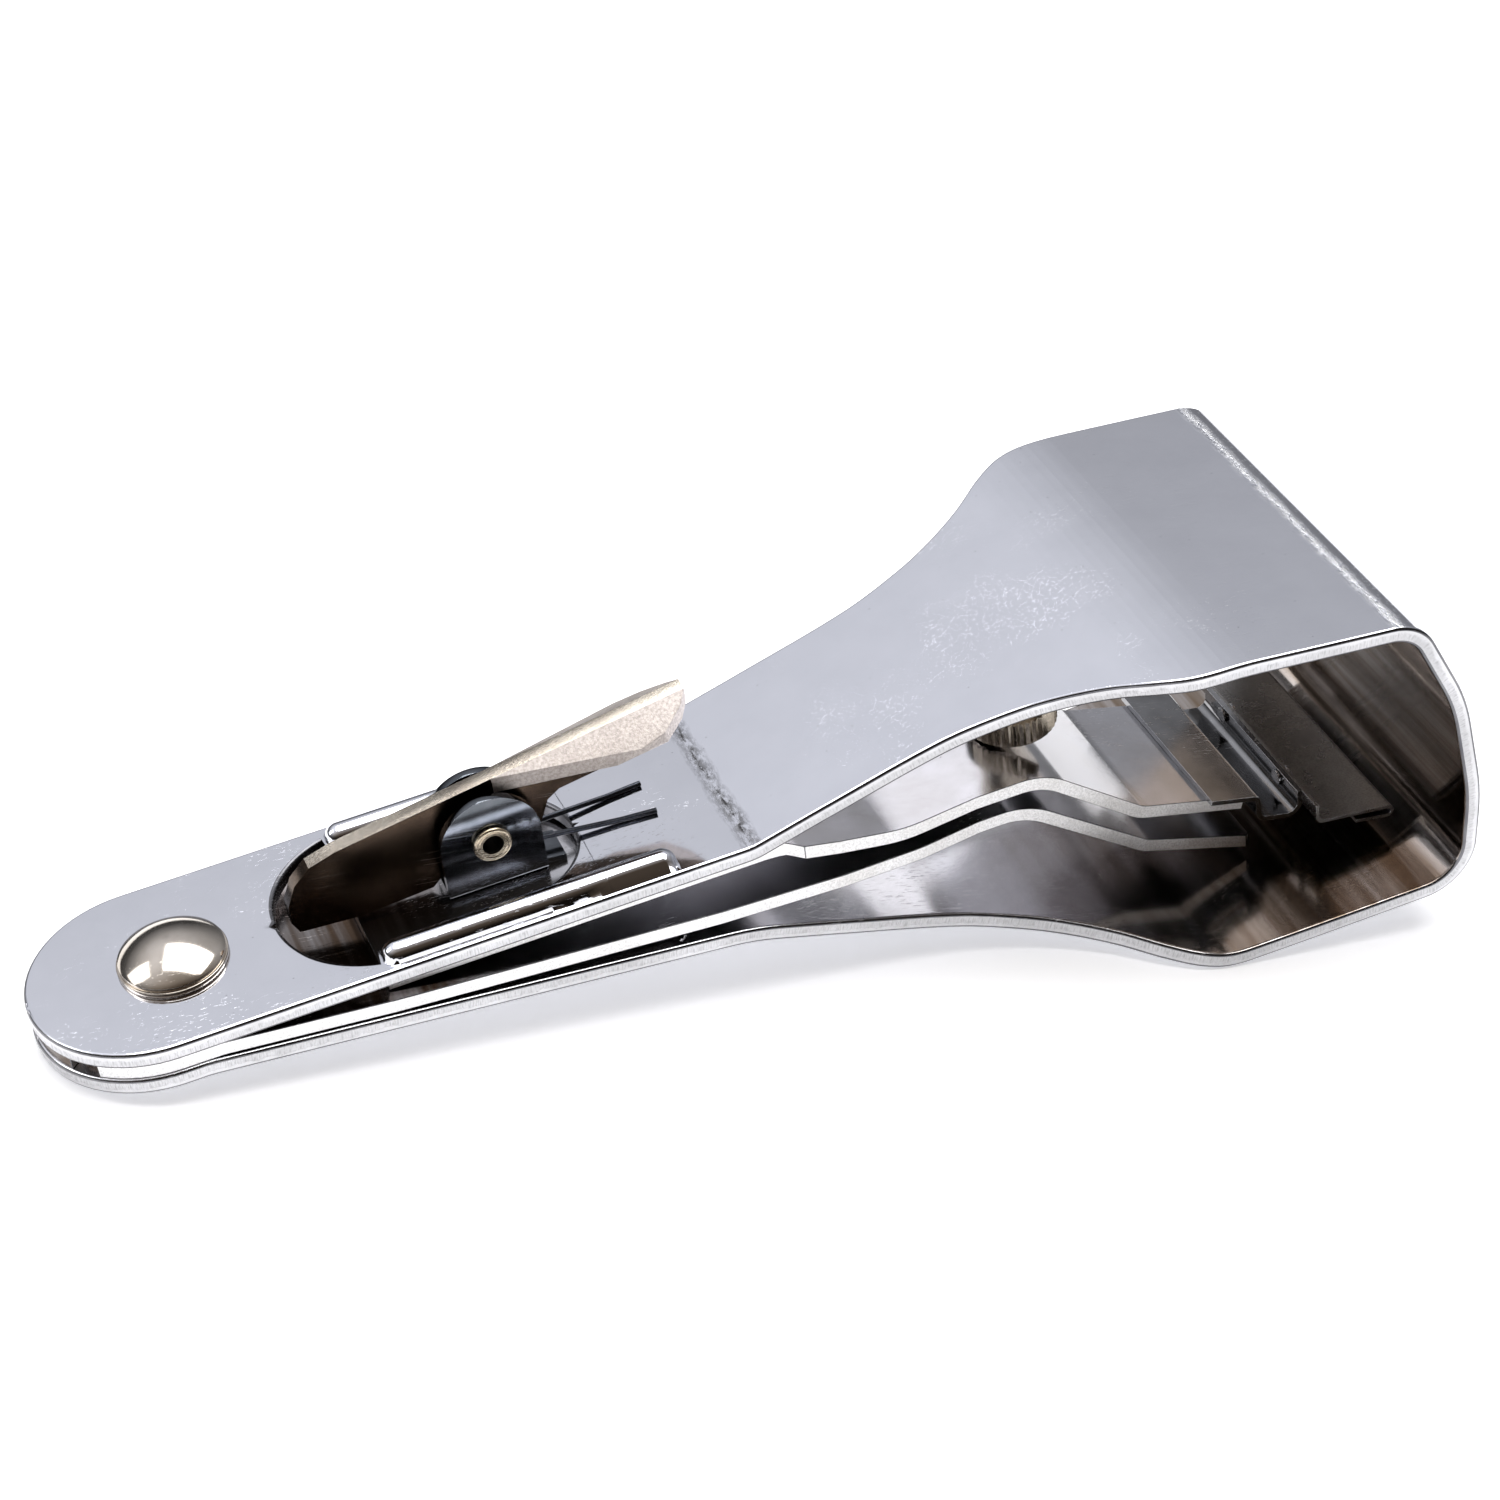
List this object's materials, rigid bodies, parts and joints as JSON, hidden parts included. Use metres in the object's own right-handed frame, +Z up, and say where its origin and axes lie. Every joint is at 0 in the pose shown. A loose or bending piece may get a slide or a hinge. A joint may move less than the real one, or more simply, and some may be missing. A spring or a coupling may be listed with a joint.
{
  "type": "hand grip strengthener",
  "caption": "Chromed sheet-metal squeeze loop with a riveted round tip, inner spring leaves, a pivoting thumb lever and a knurled adjusting screw.",
  "frame": {"origin": "centre of the footprint, on the surface that the loop stands on", "axes": "+X from the riveted tip towards the wide loop, +Y across the width, +Z up, with the lever and screw side on top"},
  "size_m": [0.1328, 0.0416, 0.0361],
  "materials": {
    "chrome_strip": "bright plating with fine specks, scratches and flaked plating at the crease",
    "chrome_leaf": "bright plating, sheared edges",
    "rivet_chrome": "bright domed heads",
    "dark_chrome": "dark bright plating",
    "tubular_rivet": "dull rolled rim",
    "lever_nickel": "brown nickel, grainy on the thumb tab and on the cut edge",
    "spring_wire": "blued wire",
    "screw_steel": "knurled and turned",
    "clip_chrome": "bright thin sheet",
    "strip_steel": "dull grey thin sheet"
  },
  "bodies": {
    "strip_base": {"slotted_arm": "chrome_strip", "lower_arm": "chrome_strip", "lower_grip_plate": "chrome_strip", "end_bend": "chrome_strip", "lower_leaf": "chrome_leaf", "tip_rivet": "rivet_chrome", "rivet_washer": "rivet_chrome", "near_lever_spring": "spring_wire", "far_lever_spring": "spring_wire"},
    "upper_grip": {"upper_grip_plate": "chrome_strip", "screw_bush": "screw_steel"},
    "upper_leaf_set": {"upper_leaf": "chrome_leaf", "yoke": "dark_chrome", "yoke_rivet": "rivet_chrome", "pivot_rivet": "tubular_rivet", "tip_clip": "clip_chrome", "cross_strip": "strip_steel", "clip_rivets": "rivet_chrome"},
    "lever_arm": {"lever": "lever_nickel"},
    "screw_head": {"knurled_head": "screw_steel", "threaded_stud": "screw_steel"}
  },
  "joints": [
    {"name": "squeeze", "type": "hinge", "parent": "strip_base", "child": "upper_grip", "pos_m": [-0.00386, 0, 0.01588], "axis": [0, 1, 0], "range_deg": [0, 1.8], "stiffness_Nm_per_rad": 60},
    {"name": "upper_leaf_flex", "type": "hinge", "parent": "strip_base", "child": "upper_leaf_set", "pos_m": [-0.03687, 0, 0.00752], "axis": [0, 1, 0], "range_deg": [0, 0.88], "stiffness_Nm_per_rad": 10},
    {"name": "lever_press", "type": "hinge", "parent": "upper_leaf_set", "child": "lever_arm", "pos_m": [-0.02548, 0, 0.01575], "axis": [0, 1, 0], "range_deg": [0, 13], "stiffness_Nm_per_rad": 0.08},
    {"name": "screw_turn", "type": "hinge", "parent": "upper_grip", "child": "screw_head", "pos_m": [0.02591, 0, 0.01944], "axis": [-0.1911, 0, 0.9816], "range_deg": [0, 720]}
  ],
  "couplings": [
    {"joint": "upper_leaf_flex", "follows": "squeeze", "ratio": 0.47}
  ]
}
